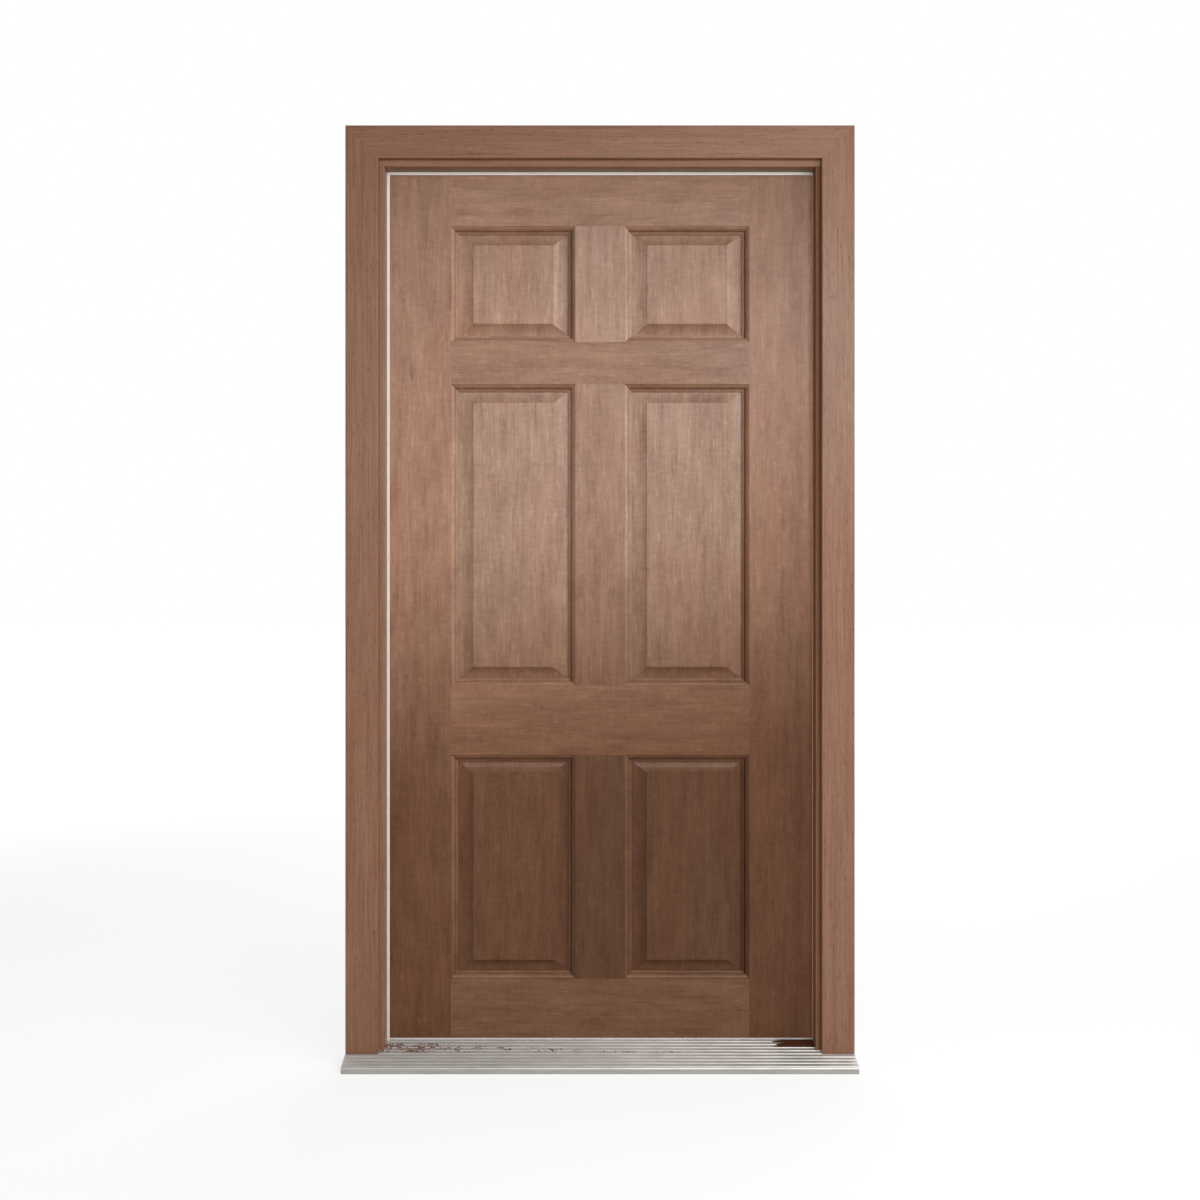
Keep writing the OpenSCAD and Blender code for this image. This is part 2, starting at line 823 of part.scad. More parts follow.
// Places for pins across the head casing, pointing into the head
module nail_places_across() {
    step = 2 * clear_half / (nails_across + 1);
    for (i = [1:nails_across])
        translate([-clear_half + i * step, -casing_t, nail_head_z]) rotate([-90, 0, 0]) children();
}

module casing_pins() {
    color(frame_colour) {
        for (side = [0, 1]) mirror([side, 0, 0]) nail_places_up() nail();
        nail_places_across() nail();
    }
}

// The door
hinge_stile();
lock_stile();
rail(top_rail_at, true, false);  // top_rail
rail(frieze_rail_at, true, true);  // frieze_rail
rail(lock_rail_at, true, true);  // lock_rail
rail(bottom_rail_at, false, true);  // bottom_rail
muntin(top_row);  // top_muntin
muntin(middle_row);  // middle_muntin
muntin(bottom_row);  // bottom_muntin
panel(open_left_x[0], top_row);  // top_left_panel
panel(open_left_x[1], top_row);  // top_right_panel
panel(open_left_x[0], middle_row);  // middle_left_panel
panel(open_left_x[1], middle_row);  // middle_right_panel
panel(open_left_x[0], bottom_row);  // bottom_left_panel
panel(open_left_x[1], bottom_row);  // bottom_right_panel
leaf_dowels();
hinge_leaf_plate(top_hinge_z);  // top_hinge_leaf_plate
hinge_leaf_plate(middle_hinge_z);  // middle_hinge_leaf_plate
hinge_leaf_plate(bottom_hinge_z);  // bottom_hinge_leaf_plate
leaf_hinge_screws();
hinge_jamb();
lock_jamb();
head_jamb();
left_casing();
right_casing();
head_casing();
sill();
hinge_side_seal();
lock_side_seal();
head_seal();
threshold_seal();
hinge_frame_plate(top_hinge_z);  // top_hinge_frame_plate
hinge_frame_plate(middle_hinge_z);  // middle_hinge_frame_plate
hinge_frame_plate(bottom_hinge_z);  // bottom_hinge_frame_plate
hinge_pin(top_hinge_z);  // top_hinge_pin
hinge_pin(middle_hinge_z);  // middle_hinge_pin
hinge_pin(bottom_hinge_z);  // bottom_hinge_pin
frame_hinge_screws();
corner_screws();
sill_screws();
casing_pins();
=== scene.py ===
"""Looks of a panelled front door in its frame: stained timber, ribbed sill, seals and steel hinges."""

import logging
import math
from dataclasses import dataclass, replace
from enum import Enum
from typing import Any, Mapping, Optional, Sequence, Union

import bmesh
import bpy
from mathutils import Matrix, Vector


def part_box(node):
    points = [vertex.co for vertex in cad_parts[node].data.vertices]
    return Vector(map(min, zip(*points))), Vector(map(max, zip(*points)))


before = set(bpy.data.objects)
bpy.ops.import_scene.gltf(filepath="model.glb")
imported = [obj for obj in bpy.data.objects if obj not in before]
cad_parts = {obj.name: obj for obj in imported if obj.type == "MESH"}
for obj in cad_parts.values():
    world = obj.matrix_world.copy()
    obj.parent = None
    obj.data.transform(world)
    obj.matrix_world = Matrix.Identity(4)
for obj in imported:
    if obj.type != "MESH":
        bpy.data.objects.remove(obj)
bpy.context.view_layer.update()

Rgb = tuple[float, float, float]
Xyz = tuple[float, float, float]
Span = tuple[float, float]
Number = Union["Field", float, int]
Paint = Union["Tint", Rgb]
log = logging.getLogger("door")


def linear(red: int, green: int, blue: int) -> Rgb:
    """Turns a colour as seen on a screen into the linear one that shaders use.

    Args:
        red: Red, 0 to 255.
        green: Green, 0 to 255.
        blue: Blue, 0 to 255.

    Returns:
        The linear red, green and blue.
    """
    def channel(value: int) -> float:
        """Undoes the screen's curve on one channel."""
        part = value / 255
        return part / 12.92 if part <= 0.04045 else ((part + 0.055) / 1.055) ** 2.4
    return channel(red), channel(green), channel(blue)


class Grain(Enum):
    """The way that a board's grain runs."""

    UPRIGHT = "upright"
    LEVEL = "level"


class Blend(Enum):
    """How one colour is laid over another."""

    COVER = "MIX"
    TINT = "MULTIPLY"


class Field:
    """A number that varies over a surface, with Python's operators adding Math nodes."""

    def __init__(self, graph: "Graph", socket: bpy.types.NodeSocket) -> None:
        """Wraps one output socket of a graph."""
        self.graph = graph
        self.socket = socket

    def __add__(self, other: Number) -> "Field":
        """Adds a number or another field."""
        return self.graph.maths("ADD", self, other)

    def __radd__(self, other: Number) -> "Field":
        """Adds this field to a number."""
        return self.graph.maths("ADD", other, self)

    def __sub__(self, other: Number) -> "Field":
        """Takes a number or another field away."""
        return self.graph.maths("SUBTRACT", self, other)

    def __rsub__(self, other: Number) -> "Field":
        """Takes this field away from a number."""
        return self.graph.maths("SUBTRACT", other, self)

    def __mul__(self, other: Number) -> "Field":
        """Multiplies by a number or another field."""
        return self.graph.maths("MULTIPLY", self, other)

    def __rmul__(self, other: Number) -> "Field":
        """Multiplies a number by this field."""
        return self.graph.maths("MULTIPLY", other, self)

    def rise(self, low: float, high: float) -> "Field":
        """Climbs smoothly from 0 to 1 as the field goes from low to high.

        Args:
            low: Value that gives 0.
            high: Value that gives 1.

        Returns:
            The smoothed step.
        """
        node = self.graph.add(
            "ShaderNodeMapRange", {"interpolation_type": "SMOOTHSTEP"},
            {"Value": self, "From Min": low, "From Max": high},
        )
        return Field(self.graph, node.outputs["Result"])

    def towards(self, other: Number, share: Number) -> "Field":
        """Goes from this field to another one.

        Args:
            other: The field or number to go to.
            share: How far, 0 to 1.

        Returns:
            The mixed field.
        """
        return self + (other - self) * share

    def within(self, low: float, high: float, edge: float) -> "Field":
        """Is 1 between low and high and fades to 0 over edge on either side.

        Args:
            low: Where the band starts.
            high: Where the band ends.
            Width of the soft margin.

        Returns:
            The band's mask.
        """
        return self.rise(low - edge, low) * (1 - self.rise(high, high + edge))


class Tint:
    """A colour that varies over a surface."""

    def __init__(self, graph: "Graph", socket: bpy.types.NodeSocket) -> None:
        """Wraps one colour output of a graph."""
        self.graph = graph
        self.socket = socket

    def over(self, other: "Paint", cover: Number, how: Blend = Blend.COVER) -> "Tint":
        """Lays another colour over this one.

        Args:
            other: The colour on top.
            cover: How much of it shows, 0 to 1.
            how: The way that the two combine.

        Returns:
            The combined colour.
        """
        return self.graph.blend(self, other, cover, how)

    def shaded(self, amount: Field) -> "Tint":
        """Multiplies the colour by a field, keeping its hue."""
        node = self.graph.add("ShaderNodeVectorMath", {"operation": "SCALE"}, {0: self, "Scale": amount})
        return Tint(self.graph, node.outputs["Vector"])


@dataclass(frozen=True)
class Place:
    """A point's place on the door, along the three axes in metres."""

    x: Field
    y: Field
    z: Field


class Graph:
    """The node tree of one material or of the world."""

    def __init__(self, tree: bpy.types.NodeTree) -> None:
        """Empties a node tree and takes it over."""
        tree.nodes.clear()
        self.tree = tree

    def add(self, kind: str, settings: Mapping[str, Any], inputs: Mapping[Any, Any]) -> bpy.types.Node:
        """Adds one node.

        Args:
            kind: The node's type.
            settings: Properties set before the sockets.
            inputs: A value or a link for each socket, by name or number.

        Returns:
            The new node.
        """
        node = self.tree.nodes.new(kind)
        for name, value in settings.items():
            setattr(node, name, value)
        for name, value in inputs.items():
            socket = node.inputs[name]
            if isinstance(value, (Field, Tint)):
                self.tree.links.new(value.socket, socket)
            elif isinstance(value, bpy.types.NodeSocket):
                self.tree.links.new(value, socket)
            elif isinstance(value, tuple) and socket.type == "RGBA":
                socket.default_value = (*value, 1.0)
            else:
                socket.default_value = value
        return node

    def maths(self, operation: str, *numbers: Number) -> Field:
        """Adds a Math node.

        Args:
            operation: The node's operation.
            numbers: Its inputs in order.

        Returns:
            The result.
        """
        node = self.add("ShaderNodeMath", {"operation": operation}, dict(enumerate(numbers)))
        return Field(self, node.outputs[0])

    def place(self) -> Place:
        """Reads the object coordinates, which on every piece are the door's own.

        Returns:
            The place of the point being shaded.
        """
        coordinates = self.add("ShaderNodeTexCoord", {}, {})
        parts = self.add("ShaderNodeSeparateXYZ", {}, {0: coordinates.outputs["Object"]})
        return Place(*(Field(self, socket) for socket in parts.outputs))

    def noise(self, x: Number, y: Number, z: Number, detail: float, roughness: float) -> Field:
        """Adds a noise pattern over three stretched coordinates.

        Args:
            x: First coordinate, in patches.
            y: Second coordinate, in patches.
            z: Third coordinate, in patches.
            detail: Octaves of finer noise.
            roughness: Strength of each finer octave.

        Returns:
            The noise, about 0 to 1.
        """
        point = self.add("ShaderNodeCombineXYZ", {}, {0: x, 1: y, 2: z})
        node = self.add(
            "ShaderNodeTexNoise", {},
            {"Vector": point.outputs[0], "Scale": 1.0, "Detail": detail, "Roughness": roughness},
        )
        return Field(self, node.outputs[0])

    def blend(self, under: "Paint", over: "Paint", cover: Number, how: Blend = Blend.COVER) -> Tint:
        """Mixes two colours.

        Args:
            under: The colour where cover is 0.
            over: The colour where cover is 1.
            cover: The share of the second colour.
            how: The way that the two combine.

        Returns:
            The mixed colour.
        """
        node = self.add(
            "ShaderNodeMix", {"data_type": "RGBA", "blend_type": how.value, "clamp_factor": True},
            {0: cover, 6: under, 7: over},
        )
        return Tint(self, node.outputs[2])

    def bump(self, height: Field, depth: float, strength: float) -> bpy.types.NodeSocket:
        """Turns a height into a surface normal.

        Args:
            height: The height, about 0 to 1.
            depth: How far a height of 1 stands up, in metres.
            strength: Share of the effect, 0 to 1.

        Returns:
            The normal's socket.
        """
        inputs = {"Strength": strength, "Distance": depth, "Height": height}
        return self.add("ShaderNodeBump", {}, inputs).outputs["Normal"]

    def surface(self, inputs: Mapping[str, Any]) -> None:
        """Ends the graph in a surface shader with the given inputs."""
        shader = self.add("ShaderNodeBsdfPrincipled", {}, inputs)
        self.add("ShaderNodeOutputMaterial", {}, {"Surface": shader.outputs[0]})


def new_material(name: str) -> tuple[bpy.types.Material, Graph]:
    """Makes an empty material.

    Args:
        name: Its name.

    Returns:
        The material and its graph.
    """
    material = bpy.data.materials.new(name)
    material.use_nodes = True
    return material, Graph(material.node_tree)


@dataclass(frozen=True)
class Marks:
    """One layer of a pattern: its marks per metre three ways, how they break up and how they are cut.

    A cut gives the noise values at which a mark starts to show and at which it shows in full.
    """

    across: float
    deep: float
    along: float
    detail: float = 2.0
    roughness: float = 0.5
    cut: Optional[Span] = None

    def over(self, graph: Graph, across: Number, deep: Number, along: Number) -> Field:
        """Draws the layer over three coordinates.

        Args:
            graph: The material's graph.
            across: Place across the marks, in metres.
            deep: Place into the surface, in metres.
            along: Place along the marks, in metres.

        Returns:
            The layer, about 0 to 1.
        """
        point = across * self.across, deep * self.deep, along * self.along
        noise = graph.noise(*point, self.detail, self.roughness)
        return noise.rise(*self.cut) if self.cut else noise


@dataclass(frozen=True)
class Ramp:
    """A brightness that changes from one level to another along the door's width."""

    base: float
    gain: float
    start: float
    end: float

    def at(self, place: Place) -> Field:
        """Gives the brightness at a point."""
        return self.base + self.gain * place.x.rise(self.start, self.end)


@dataclass(frozen=True)
class PaintedGradient:
    """How a stain changes over the door, up its height, from side to side and near the top; on the leaf
    this is painted shade, darker towards the bottom, towards one side and near the top.
    """

    foot: float
    crown: float
    lean: float = 0.0
    balance: float = 0.0
    cap_from: float = 1.55
    cap_to: float = 2.12
    cap_depth: float = 0.0

    def paleness(self, place: Place) -> Field:
        """Gives how pale the stain is at each point, from 0, deep, to 1, pale; the leaf's deep foot is
        painted shade.
        """
        return (place.z - self.lean * place.x).rise(self.foot, self.crown)

    def level(self, place: Place) -> Field:
        """Gives a factor for the stain's brightness, lower towards the top and one side, as painted shade.
        """
        cap = self.cap_depth * place.z.rise(self.cap_from, self.cap_to)
        return (1 - self.balance * place.x) * (1 - cap)


@dataclass(frozen=True)
class PaintedShading:
    """Painted light and shade on a board's shaped edges: the share of brightness some lose and others
    gain.

    The left and lower edges lose by it as painted shade, the right and upper ones gain as painted
    highlight. Brim is what the right edge gains at its outer brink, where that differs. Dimming is the
    share of the right edge's gain that is missing higher up the door.
    """

    left: float
    lower: float
    right: float
    upper: float
    brim: Optional[float] = None
    dimming: float = 0.0


@dataclass(frozen=True)
class Relief:
    """Where a board's shaped edges are, and the painted shade and highlight that they carry.

    Side and end are the widths of its upright and level edges, 0 where it has none. Brink and inner
    are the shares of the loss at an edge's outer brink and where it meets the flat.
    """

    low: Vector
    high: Vector
    side: float
    end: float
    brink: float
    inner: float
    fade: PaintedShading
    dimming_from: float = 0.65
    dimming_to: float = 0.95
    mitre: float = 0.02
    shoulder: float = 0.94
    skin: float = 0.0008
    recess: float = 0.002
    back: float = 0.07

    def distances(self, place: Place) -> tuple[list[Field], list[Field]]:
        """Measures how far a point is from the shaped edges, as shares of their widths.

        Args:
            place: The point's place on the door.

        Returns:
            The distances from the left and lower edges, and those from the right and upper ones.
        """
        dim, lit = [], []
        if self.side:
            dim.append((place.x - self.low.x) * (1 / self.side))
            lit.append((self.high.x - place.x) * (1 / self.side))
        if self.end:
            dim.append((place.z - self.low.z) * (1 / self.end))
            lit.append((self.high.z - place.z) * (1 / self.end))
        return dim, lit

    def closer(self, this: Field, that: Field) -> Field:
        """Is 1 where this distance is the shorter one, with a soft mitre between."""
        return (that - this).rise(-self.mitre, self.mitre)

    def shade(self, graph: Graph, place: Place) -> Field:
        """Gives a factor for the stain on the shaped edges of the front: painted shade and highlight.

        Args:
            graph: The material's graph.
            place: The point's place on the door.

        Returns:
            The factor, 1 on flat faces.
        """
        fade = self.fade
        dim, lit = self.distances(place)
        dim_side, lit_side = (graph.maths("MINIMUM", way[0], way[-1]) for way in (dim, lit))
        turned = self.closer(dim_side, lit_side)
        lost = fade.left + (fade.lower - fade.left) * self.closer(dim[-1], dim[0])
        lost = lost * (self.brink + (self.inner - self.brink) * dim_side)
        brim = fade.right if fade.brim is None else fade.brim
        undimmed = 1 - fade.dimming * place.z.rise(self.dimming_from, self.dimming_to)
        right = (brim + (fade.right - brim) * lit_side) * undimmed
        gained = fade.upper + (right - fade.upper) * self.closer(lit[0], lit[-1])
        dark = turned * (1 - dim_side.rise(self.shoulder, 1.0)) * lost
        pale = (1 - turned) * (1 - lit_side.rise(self.shoulder, 1.0)) * gained
        sunk = (place.y - self.low.y).rise(self.skin, self.recess)
        sunk = sunk * (1 - place.y.rise(self.back, self.back + self.recess))
        return 1 + (pale - dark) * sunk


@dataclass(frozen=True)
class PaintedStrip:
    """A strip towards a board's right edge, on the street side: painted highlight where the gain is above
    0, painted shade where it is below.
    """

    gain: float
    start: float
    end: float
    tint: Rgb = (1.0, 1.0, 1.0)
    depth: float = 0.055
    fringe: float = 0.012

    def run(self, place: Place) -> Field:
        """Gives how far into the strip a point is, from 0 to 1."""
        street = 1 - place.y.rise(self.depth, self.depth + self.fringe)
        return place.x.rise(self.start, self.end) * street


@dataclass(frozen=True)
class Board:
    """One board: the run of its grain, how its stain took, and its painted light and shade."""

    node: str
    grain: Grain
    lift: float = 1.0
    painted_sheen: float = 0.0
    tint: Rgb = (1.0, 1.0, 1.0)
    raised: bool = False
    fade: Optional[PaintedShading] = None
    edge: Optional[PaintedStrip] = None


@dataclass(frozen=True)
class Figure:
    """One board's figure: its contrast, its warm patches and the layers that its surface shows too."""

    contrast: Field
    flush: Field
    ribbon: Field
    lines: Field
    pores: Field


@dataclass(frozen=True)
class Timber:
    """A stained hardwood with ribbon figure, dark growth lines, short dashes and open pores.

    Its colours come first, then the strength of each layer of the figure, then the layers' marks.
    """

    pale: Rgb
    deep: Rgb
    blush: Rgb
    tone: PaintedGradient
    painted_sheen: Rgb = (1.0, 1.14, 1.26)
    umber: Rgb = (0.55, 0.42, 0.36)
    chalk: Rgb = (1.45, 1.58, 1.64)
    shade_tint: Rgb = (1.06, 0.88, 0.74)
    shade_span: Span = (0.03, 0.4)
    highlight_tint: Rgb = (0.96, 1.04, 1.12)
    highlight_span: Span = (0.02, 0.25)
    wander: float = 0.014
    wave: float = 0.0
    ribbon: float = 0.5
    mottle: float = 0.6
    lines: float = 0.5
    fiddle: float = 0.4
    flecks: float = 0.2
    dashes: float = 0.14
    pores: float = 0.1
    wander_marks: Marks = Marks(6, 6, 1.7)
    wave_marks: Marks = Marks(16, 16, 9)
    ribbon_marks: Marks = Marks(1 / 0.016, 25, 1 / 0.2, 4.0, 0.55)
    mottle_marks: Marks = Marks(26, 14, 10, 3.0, 0.6)
    line_marks: Marks = Marks(1 / 0.0036, 160, 1 / 0.085, 2.0, 0.6)
    fiddle_marks: Marks = Marks(42, 40, 120, 2.0, 0.6)
    fleck_marks: Marks = Marks(150, 100, 30, cut=(0.54, 0.74))
    dash_marks: Marks = Marks(130, 90, 18, cut=(0.56, 0.76))
    pore_marks: Marks = Marks(1 / 0.00067, 900, 60, 1.0, cut=(0.6, 0.74))
    flush_marks: Marks = Marks(11, 9, 3.6, cut=(0.38, 0.64))
    across_shift: float = 0.377
    along_shift: float = 0.731
    roughness: float = 0.33
    ribbon_rough: float = 0.12
    pore_rough: float = 0.1
    sheen_level: float = 0.18
    line_height: float = 0.5
    ribbon_height: float = 0.3
    pore_depth: float = 0.8
    bump_depth: float = 0.0004
    bump_strength: float = 0.35

    def figure(self, graph: Graph, place: Place, board: Board, number: int) -> Figure:
        """Draws the layers of a board's figure along its grain.

        Args:
            graph: The material's graph.
            place: The point's place on the door.
            board: The board.
            number: The board's number, which sets its own figure.

        Returns:
            The figure.
        """
        level = board.grain is Grain.LEVEL
        along = (place.x if level else place.z) + self.along_shift * number
        side = (place.z if level else place.x) + self.across_shift * number
        across = side + self.wander * (self.wander_marks.over(graph, side, place.y, along) - 0.5)
        if self.wave:
            across = across + self.wave * (self.wave_marks.over(graph, side, place.y, along) - 0.5)

        def layer(marks: Marks) -> Field:
            """Draws one layer."""
            return marks.over(graph, across, place.y, along)

        ribbon = layer(self.ribbon_marks)
        lines = layer(self.line_marks)
        pores = layer(self.pore_marks)
        contrast = self.ribbon * (ribbon - 0.5) + self.lines * (lines - 0.5)
        contrast = contrast + self.mottle * (layer(self.mottle_marks) - 0.5)
        contrast = contrast + self.fiddle * (layer(self.fiddle_marks) - 0.5)
        contrast = contrast + self.flecks * layer(self.fleck_marks)
        dark = graph.maths("MAXIMUM", self.dashes * layer(self.dash_marks), self.pores * pores)
        return Figure(contrast - dark, layer(self.flush_marks), ribbon, lines, pores)

    def material(self, board: Board, number: int, relief: Optional[Relief] = None) -> bpy.types.Material:
        """Makes the finish of one board.

        Args:
            board: The board.
            number: The board's number, which sets its own figure.
            relief: Its shaped edges and their painted shade and highlight, on a moulded board.

        Returns:
            The material.
        """
        material, graph = new_material(f"{board.node}_timber")
        place = graph.place()
        figure = self.figure(graph, place, board, number)
        shade = board.lift * self.tone.level(place)
        paleness = self.tone.paleness(place)
        stain = graph.blend(self.deep, self.pale, paleness)
        # A greyer, bluer cast on the upper faces, as painted sheen.
        stain = stain.over(self.painted_sheen, board.painted_sheen * paleness, Blend.TINT)
        stain = stain.over(board.tint, 1.0, Blend.TINT)
        if relief:
            # The shaped edges get painted shade and painted highlight.
            relief_shading = relief.shade(graph, place)
            shade = shade * relief_shading
            # Painted shade on the shaped edges turns the stain warmer; painted highlight turns it paler
            # and bluer.
            stain = stain.over(self.shade_tint, (1 - relief_shading).rise(*self.shade_span), Blend.TINT)
            stain = stain.over(self.highlight_tint, (relief_shading - 1).rise(*self.highlight_span), Blend.TINT)
        # The board's painted strip of light and shade, scaled by its gain and tinted.
        if board.edge:
            run = board.edge.run(place)
            shade = shade * (1 + board.edge.gain * run)
            stain = stain.over(board.edge.tint, run, Blend.TINT)
        figured = graph.blend(self.umber, self.chalk, 0.5 + figure.contrast)
        stain = stain.over(self.blush, figure.flush, Blend.TINT).over(figured, 1.0, Blend.TINT)
        rough = self.roughness + self.ribbon_rough * (figure.ribbon - 0.5) + self.pore_rough * figure.pores
        height = self.line_height * figure.lines + self.ribbon_height * figure.ribbon
        height = height - self.pore_depth * figure.pores
        graph.surface({
            "Base Color": stain.shaded(shade),
            "Roughness": rough,
            "Specular IOR Level": self.sheen_level,
            "Normal": graph.bump(height, self.bump_depth, self.bump_strength),
        })
        return material


@dataclass(frozen=True)
class Deck:
    """The sill's fluted deck: the painted highlight on its nose, and the specks and dark patch that lie
    between it and the leaf.
    """

    nose_y: float
    nose_z: float
    leaf_y: float
    left: float
    right: float
    flute_inset: float = 0.00575
    flute_pitch: float = 0.01375
    flute_w: float = 0.0055
    flute_blur: float = 0.06
    rim: float = 0.003
    rim_blur: float = 0.001
    deck_rise: Span = (0.006, 0.01)
    highlight_back: Span = (0.0025, 0.004)
    highlight_down: Span = (0.0045, 0.0025)
    splash_back: Span = (0.001, 0.003)
    corner_w: float = 0.07
    corner_past: float = 0.005
    corner_blur: float = 0.03
    crumb_marks: Marks = Marks(160, 190, 0, 1.0, 0.6)
    drift_marks: Marks = Marks(22, 40, 0, 1.0)
    crumb_share: float = 0.6
    speck_cut: Span = (0.494, 0.504)
    speck_front: float = -0.009
    speck_back: float = 0.031
    speck_blur: float = 0.001
    speck_tuck: Span = (0.025, 0.02)
    thin_from: float = -0.46
    thin_to: float = -0.3
    thinning: float = 0.07
    speck_end: float = 0.1
    end_run: float = 0.3
    end_thinning: float = 0.06
    last_row: float = 0.007
    blot_marks: Marks = Marks(9, 190, 0, 1.0, 0.6)
    blot_w: float = 0.086
    blot_d: float = 0.033
    blot_past: float = 0.02
    blot_tuck: Span = (0.015, 0.02)
    blot_edge: float = 0.006
    blot_blur: float = 0.002
    ragged_x: float = 0.1
    ragged_y: float = 0.006

    def flutes(self, graph: Graph, place: Place) -> Field:
        """Is 1 in the flutes and 0 on the ribs between them.

        Args:
            graph: The material's graph.
            place: The point's place on the door.

        Returns:
            The flutes' mask.
        """
        aside = graph.maths("PINGPONG", place.y - (self.nose_y + self.flute_inset), self.flute_pitch / 2)
        deck = place.y.within(self.nose_y + self.rim, self.leaf_y, self.rim_blur)
        deck = deck * place.z.rise(*self.deck_rise)
        inside, outside = ((0.5 + way * self.flute_blur) * self.flute_w for way in (-1, 1))
        return (1 - aside.rise(inside, outside)) * deck

    def nose_highlight(self, place: Place) -> Field:
        """Is 1 along the top edge of the nose, where a highlight is painted."""
        front = 1 - place.y.rise(*(self.nose_y + back for back in self.highlight_back))
        return front * place.z.rise(*(self.nose_z - down for down in self.highlight_down))

    def front(self, place: Place) -> Field:
        """Is 1 on the nose's upright face, which is drawn darker."""
        face = 1 - place.y.rise(*(self.nose_y + back for back in self.splash_back))
        return face * (1 - self.nose_highlight(place))

    def corner(self, place: Place) -> Field:
        """Is 1 beside the right jamb, where the ribs get painted shade."""
        start, end = self.right - self.corner_w, self.right + self.corner_past
        return place.x.within(start, end, self.corner_blur)

    def specks(self, graph: Graph, place: Place) -> Field:
        """Gives the brown specks, which thin out from the left jamb.

        Args:
            graph: The material's graph.
            place: The point's place on the door.

        Returns:
            A field of 0, clean, to 1, covered.
        """
        crumbs = self.crumb_marks.over(graph, place.x, place.y, 0.0)
        drifts = self.drift_marks.over(graph, place.x, place.y, 0.0)
        thin = self.thinning * place.x.rise(self.thin_from, self.thin_to)
        thin = thin + self.end_thinning * place.x.rise(self.speck_end, self.speck_end + self.end_run)
        found = self.crumb_share * crumbs + (1 - self.crumb_share) * drifts - thin
        taper = self.speck_back - self.speck_front - self.last_row
        behind = place.y + taper * place.x.rise(self.thin_from, self.speck_end)
        swept = place.y.rise(self.speck_front - self.speck_blur, self.speck_front)
        swept = swept * place.x.rise(*(self.left - tuck for tuck in self.speck_tuck))
        swept = swept * (1 - behind.rise(self.speck_back, self.speck_back + 2 * self.speck_blur))
        return found.rise(*self.speck_cut) * swept

    def stain(self, graph: Graph, place: Place) -> Field:
        """Gives the dark brown patch at the right jamb, whose edge follows the flutes.

        Args:
            graph: The material's graph.
            place: The point's place on the door.

        Returns:
            A field of 0, clean, to 1, covered.
        """
        ragged = self.blot_marks.over(graph, place.x, place.y, 0.0) - 0.5
        start = self.right - self.blot_w
        reach = (place.x + self.ragged_x * ragged).rise(start, start + self.blot_edge)
        reach = reach * (1 - place.x.rise(*(self.right + tuck for tuck in self.blot_tuck)))
        row = place.y + self.ragged_y * ragged
        front, back = self.leaf_y - self.blot_d, self.leaf_y + self.blot_past
        return reach * row.within(front, back, self.blot_blur)


@dataclass(frozen=True)
class Aluminium:
    """A mill-finished extrusion with drawing lines, dull patches, specks and a dark patch, and painted
    light and shade on its deck.
    """

    colour: Rgb
    dull: Rgb
    specks: Rgb
    stain: Rgb
    # Painted light and shade: the deck brightens towards the right, the flutes sit below the ribs on the
    # left and above them on the right, and the nose edge gets a painted highlight.
    rib_left: Ramp = Ramp(1.03, 0.25, -0.35, 0.1)
    rib_right: Ramp = Ramp(0.0, -0.36, 0.05, 0.42)
    rib_corner: float = 0.2
    flute: Ramp = Ramp(0.76, 0.5, -0.1, 0.45)
    nose: Ramp = Ramp(0.88, 0.52, -0.45, 0.3)
    face_level: float = 0.75
    drawn: float = 0.16
    drawn_marks: Marks = Marks(1.5, 900, 900, 2.0, 0.6)
    dull_marks: Marks = Marks(14, 60, 60, 3.0, 0.6, cut=(0.35, 0.75))
    roughness: float = 0.4
    drawn_rough: float = 0.14
    dull_rough: float = 0.1
    blotted_rough: float = 0.3
    highlight_gloss: float = 0.12
    metallic: float = 0.25
    sheen_level: float = 0.25
    bump_depth: float = 0.0002
    bump_strength: float = 0.3

    def brightness(self, graph: Graph, place: Place, deck: Deck) -> Field:
        """Gives the metal's brightness on ribs, flutes, nose and front: painted light and shade.

        Args:
            graph: The material's graph.
            place: The point's place on the door.
            deck: The deck's flutes and the painted highlight on its nose.

        Returns:
            A factor for the metal's colour.
        """
        ribs = self.rib_left.at(place) + self.rib_right.at(place) - self.rib_corner * deck.corner(place)
        shade = ribs.towards(self.flute.at(place), deck.flutes(graph, place))
        shade = shade.towards(self.nose.at(place), deck.nose_highlight(place))
        return shade.towards(self.face_level, deck.front(place))

    def material(self, name: str, deck: Deck) -> bpy.types.Material:
        """Makes the finish.

        Args:
            name: The material's name.
            deck: The deck's flutes, painted highlight, specks and dark patch.

        Returns:
            The material.
        """
        material, graph = new_material(name)
        place = graph.place()
        drawn = self.drawn_marks.over(graph, place.x, place.y, place.z) - 0.5
        dull = self.dull_marks.over(graph, place.x, place.y, place.z)
        specks = deck.specks(graph, place)
        # The dark brown patch by the right jamb.
        stain = deck.stain(graph, place)
        blotted = graph.maths("MAXIMUM", specks, stain)
        shade = self.brightness(graph, place, deck) + self.drawn * drawn
        metal = graph.blend(self.colour, self.dull, dull).shaded(shade)
        rough = self.roughness + self.drawn_rough * drawn + self.dull_rough * dull
        rough = rough + self.blotted_rough * blotted - self.highlight_gloss * deck.nose_highlight(place)
        graph.surface({
            "Base Color": metal.over(self.specks, specks).over(self.stain, stain),
            "Metallic": self.metallic * (1 - blotted),
            "Roughness": rough,
            "Specular IOR Level": self.sheen_level,
            "Normal": graph.bump(drawn, self.bump_depth, self.bump_strength),
        })
        return material


